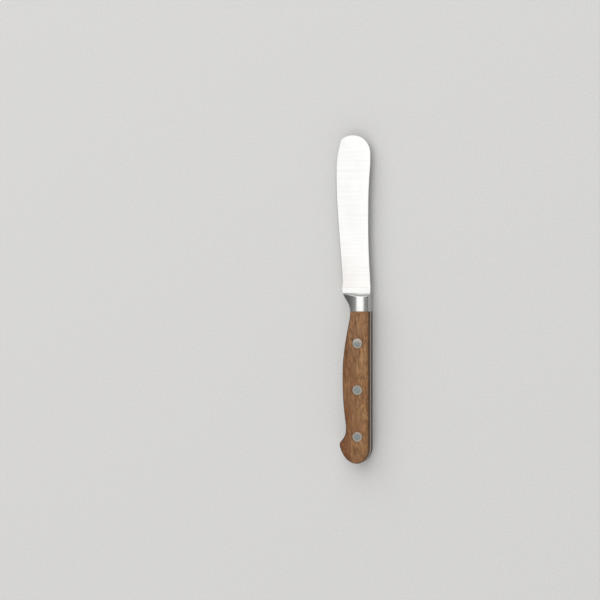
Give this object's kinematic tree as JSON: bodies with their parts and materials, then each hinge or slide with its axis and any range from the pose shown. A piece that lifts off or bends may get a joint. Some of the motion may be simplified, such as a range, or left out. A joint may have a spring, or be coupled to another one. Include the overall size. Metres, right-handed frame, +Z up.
{
  "type": "cheese spreader",
  "caption": "Round-ended, blunt-edged steel spreader with a bolster, a full tang and riveted wooden handle scales with a hooked butt.",
  "frame": {"origin": "middle of the box round the spreader, on the surface that its lower scale lies on", "axes": "+Y along the spreader to the tip of the blade, +X to the spine and the back of the handle, +Z up out of the upper scale"},
  "size_m": [0.0238, 0.2202, 0.015],
  "materials": {
    "blade_steel": "fine satin, almost mirror bright",
    "bolster_steel": "brushed across",
    "handle_wood": "oiled, open pores along the handle",
    "rivet_steel": "satin"
  },
  "bodies": {
    "root": {"blade_with_tang": "blade_steel", "bolster_cheek_upper": "bolster_steel", "bolster_cheek_lower": "bolster_steel", "scale_upper": "handle_wood", "scale_lower": "handle_wood", "rivet_post_front": "rivet_steel", "rivet_post_middle": "rivet_steel", "rivet_post_rear": "rivet_steel", "rivet_socket_front": "rivet_steel", "rivet_socket_middle": "rivet_steel", "rivet_socket_rear": "rivet_steel"}
  },
  "joints": []
}
